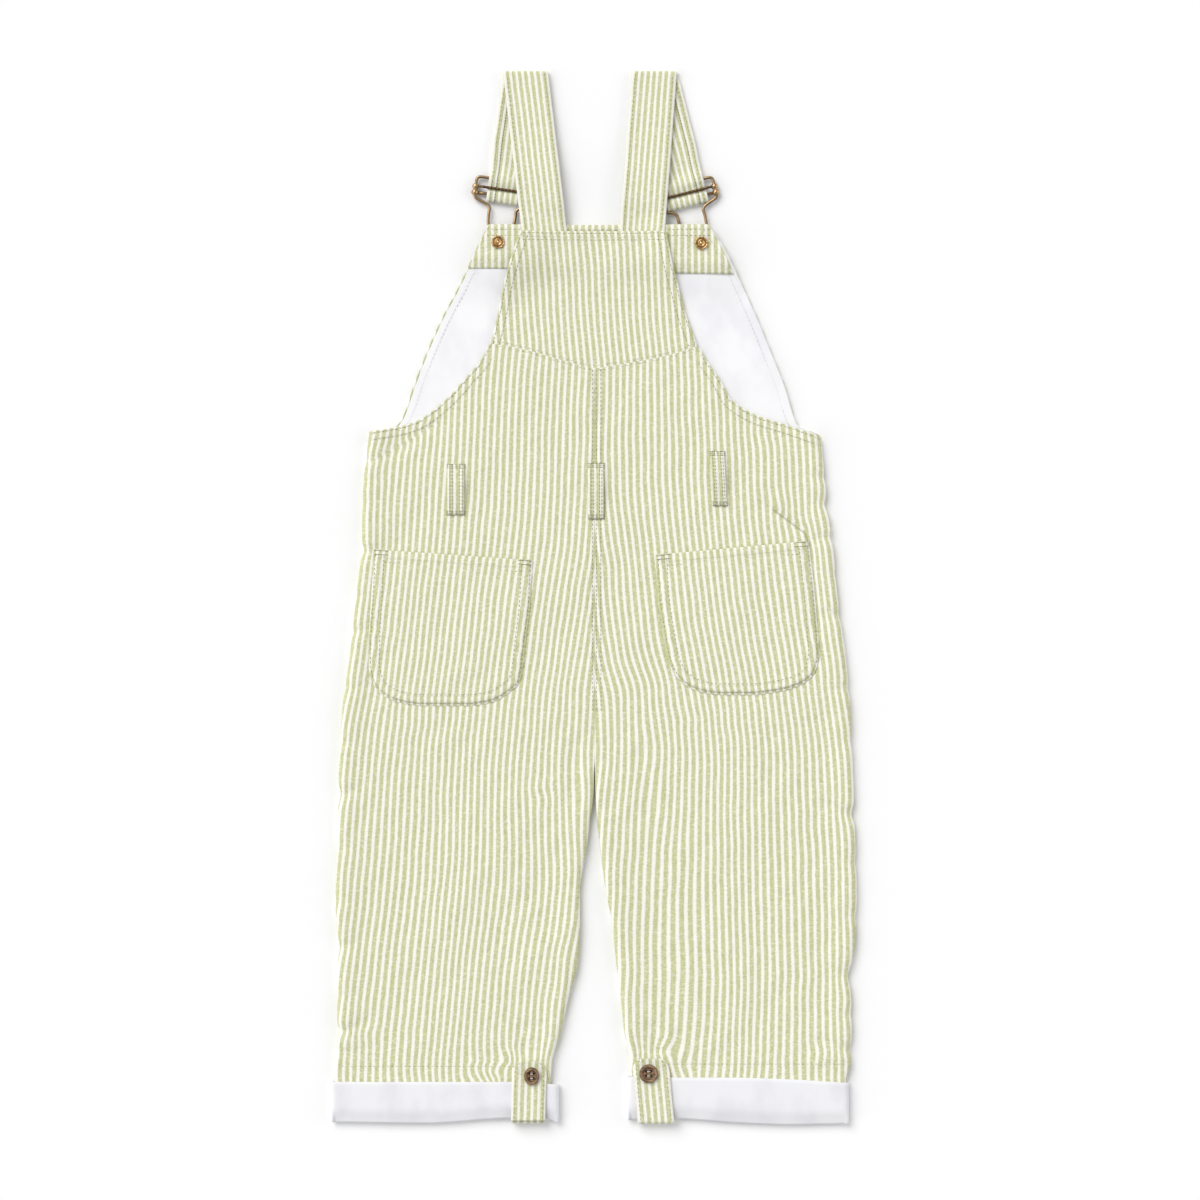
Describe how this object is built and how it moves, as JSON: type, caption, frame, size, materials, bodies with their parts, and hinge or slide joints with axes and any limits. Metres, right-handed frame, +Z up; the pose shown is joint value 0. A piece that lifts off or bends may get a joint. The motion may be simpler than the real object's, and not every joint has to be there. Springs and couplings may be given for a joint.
{
  "type": "kids bib overalls",
  "caption": "Striped kids bib overalls laid flat on their front: back yoke, patch pockets, belt loops, folded straps with wire buckles and white turned-up cuffs held by buttoned tabs.",
  "frame": {"origin": "middle of the garment's outline on the surface it lies on", "axes": "+Y from the leg hems to the strap folds, +X to the right as the picture shows it, +Z up, out of the back of the garment"},
  "size_m": [0.3462, 0.6942, 0.0112],
  "materials": {
    "striped_cloth": "plain-woven cotton and linen, sage green and cream stripes about 4.4 mm apart, slubby and matte",
    "white_cloth": "plain white cotton, matte",
    "antique_metal": "antique brass wire and stampings, dark in the hollows and brighter where it rubs",
    "copper_metal": "ringed golden-copper tack back",
    "brown_button": "brown horn-look button with a soft sheen"
  },
  "bodies": {
    "root": {"front_bib": "striped_cloth", "bib_lining": "white_cloth", "bib_facing": "striped_cloth", "back_yoke": "striped_cloth", "front_leg_left": "striped_cloth", "back_left": "striped_cloth", "back_pocket_left": "striped_cloth", "strap_left": "striped_cloth", "buckle_wire_left": "antique_metal", "buckle_slide_left": "antique_metal", "bib_button_left": "antique_metal", "tack_back_left": "copper_metal", "cuff_left": "white_cloth", "cuff_tab_left": "striped_cloth", "cuff_button_left": "brown_button", "front_leg_right": "striped_cloth", "back_right": "striped_cloth", "back_pocket_right": "striped_cloth", "strap_right": "striped_cloth", "buckle_wire_right": "antique_metal", "buckle_slide_right": "antique_metal", "bib_button_right": "antique_metal", "tack_back_right": "copper_metal", "cuff_right": "white_cloth", "cuff_tab_right": "striped_cloth", "cuff_button_right": "brown_button", "belt_loop_left": "striped_cloth", "belt_loop_center": "striped_cloth", "belt_loop_right": "striped_cloth"}
  },
  "joints": []
}
